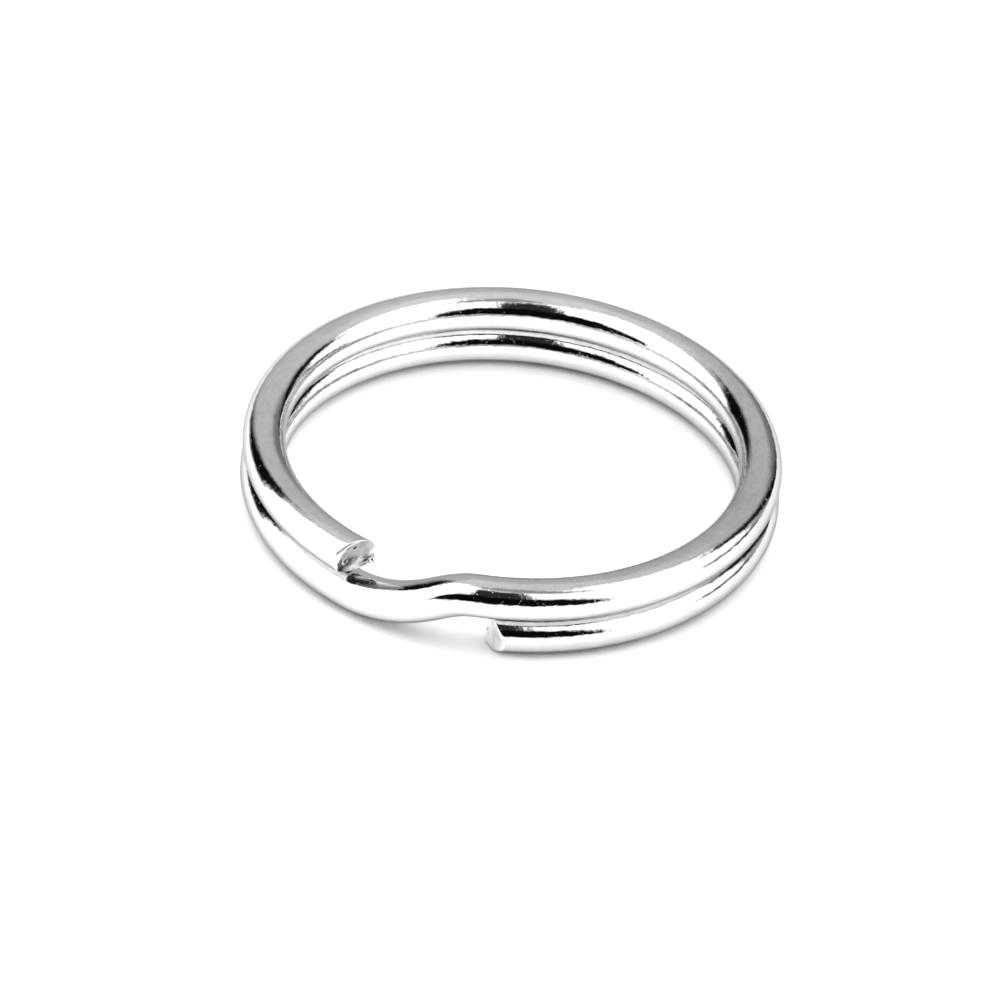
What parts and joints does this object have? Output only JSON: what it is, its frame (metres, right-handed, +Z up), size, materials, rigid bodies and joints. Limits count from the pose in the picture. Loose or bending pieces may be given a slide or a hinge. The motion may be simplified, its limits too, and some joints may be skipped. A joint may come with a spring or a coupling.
{
  "type": "split key ring",
  "caption": "Split key ring of round plated spring steel wire in two touching turns, with a step from turn to turn; each free end springs open to take a key.",
  "frame": {"origin": "ring centre, on the plane that the lower turn rests on", "axes": "+Z up along the ring's axis, out of the upper turn; -Y towards the front, where the wire's step and both free ends are; +X to the right"},
  "size_m": [0.025, 0.0254, 0.004],
  "materials": {
    "plated_wire": "polished nickel plate on round spring steel wire, with faint drawing marks; the cut ends are sheared and lightly torn"
  },
  "bodies": {
    "lower_end": {"lower_end": "plated_wire"},
    "lower_arc_1": {"lower_arc_1": "plated_wire"},
    "lower_arc_2": {"lower_arc_2": "plated_wire"},
    "middle_turn": {"lower_turn": "plated_wire", "crossover": "plated_wire", "upper_turn": "plated_wire"},
    "upper_arc_2": {"upper_arc_2": "plated_wire"},
    "upper_arc_1": {"upper_arc_1": "plated_wire"},
    "upper_end": {"upper_end": "plated_wire"}
  },
  "joints": [
    {"name": "upper_flex_3", "type": "hinge", "parent": "middle_turn", "child": "upper_arc_2", "pos_m": [0.00681, 0.00909, 0.00304], "axis": [-0.8059, 0.592, 0], "range_deg": [0, 3.92], "stiffness_Nm_per_rad": 0.1},
    {"name": "upper_flex_2", "type": "hinge", "parent": "upper_arc_2", "child": "upper_arc_1", "pos_m": [-0.00462, 0.01035, 0.00304], "axis": [-1, 0.0043, 0], "range_deg": [0, 3.24], "stiffness_Nm_per_rad": 0.005},
    {"name": "upper_flex_1", "type": "hinge", "parent": "upper_arc_1", "child": "upper_end", "pos_m": [-0.01143, 0.00109, 0.00304], "axis": [-0.8608, -0.5089, 0], "range_deg": [0, 1.65], "stiffness_Nm_per_rad": 0.005},
    {"name": "lower_flex_1", "type": "hinge", "parent": "lower_end", "child": "lower_arc_1", "pos_m": [0.01, -0.00551, 0.001], "axis": [-0.3989, 0.917, 0], "range_deg": [0, 1.65], "stiffness_Nm_per_rad": 0.005},
    {"name": "lower_flex_2", "type": "hinge", "parent": "lower_arc_1", "child": "lower_arc_2", "pos_m": [0.00992, 0.00599, 0.001], "axis": [-0.8126, 0.5829, 0], "range_deg": [0, 3.24], "stiffness_Nm_per_rad": 0.005},
    {"name": "lower_flex_3", "type": "hinge", "parent": "lower_arc_2", "child": "middle_turn", "pos_m": [-0.00008, 0.01167, 0.001], "axis": [-1, -0.007, 0], "range_deg": [0, 3.92], "stiffness_Nm_per_rad": 0.1}
  ],
  "couplings": [
    {"joint": "upper_flex_2", "follows": "upper_flex_3", "ratio": 0.8206},
    {"joint": "upper_flex_1", "follows": "upper_flex_3", "ratio": 0.4165},
    {"joint": "lower_flex_1", "follows": "lower_flex_3", "ratio": 0.4165},
    {"joint": "lower_flex_2", "follows": "lower_flex_3", "ratio": 0.8206}
  ]
}
